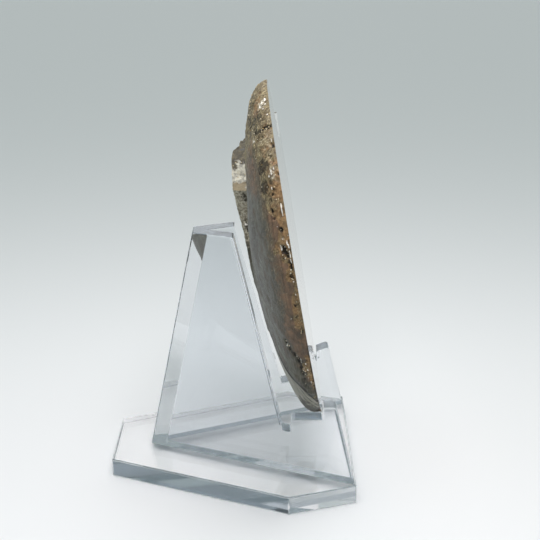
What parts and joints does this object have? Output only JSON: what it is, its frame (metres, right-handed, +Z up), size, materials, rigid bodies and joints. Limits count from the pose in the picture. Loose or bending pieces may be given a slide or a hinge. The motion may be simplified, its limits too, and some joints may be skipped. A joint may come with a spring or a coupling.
{
  "type": "fossil ammonite",
  "caption": "Cut and polished half of an ammonite, leaning in the notched arms of a clear V-shaped display stand on a flat base plate.",
  "frame": {"origin": "middle of the base plate's underside, half way between its rear and front edges", "axes": "+X to the front, where the cut face of the fossil looks; +Z up out of the base plate; Y across the stand, the broken mouth of the fossil on +Y"},
  "size_m": [0.0792, 0.1303, 0.1294],
  "materials": {
    "acrylic_base": "clear cast acrylic sheet with polished faces and saw-cut, flame-polished edges",
    "acrylic_upright": "clear cast acrylic sheet with polished faces and flame-polished edges",
    "fossil_shell": "grey-green to brown pearly shell with growth lines; cut face polished like a mirror"
  },
  "bodies": {
    "root": {"stand_base": "acrylic_base", "stand_upright": "acrylic_upright", "ammonite": "fossil_shell"}
  },
  "joints": []
}
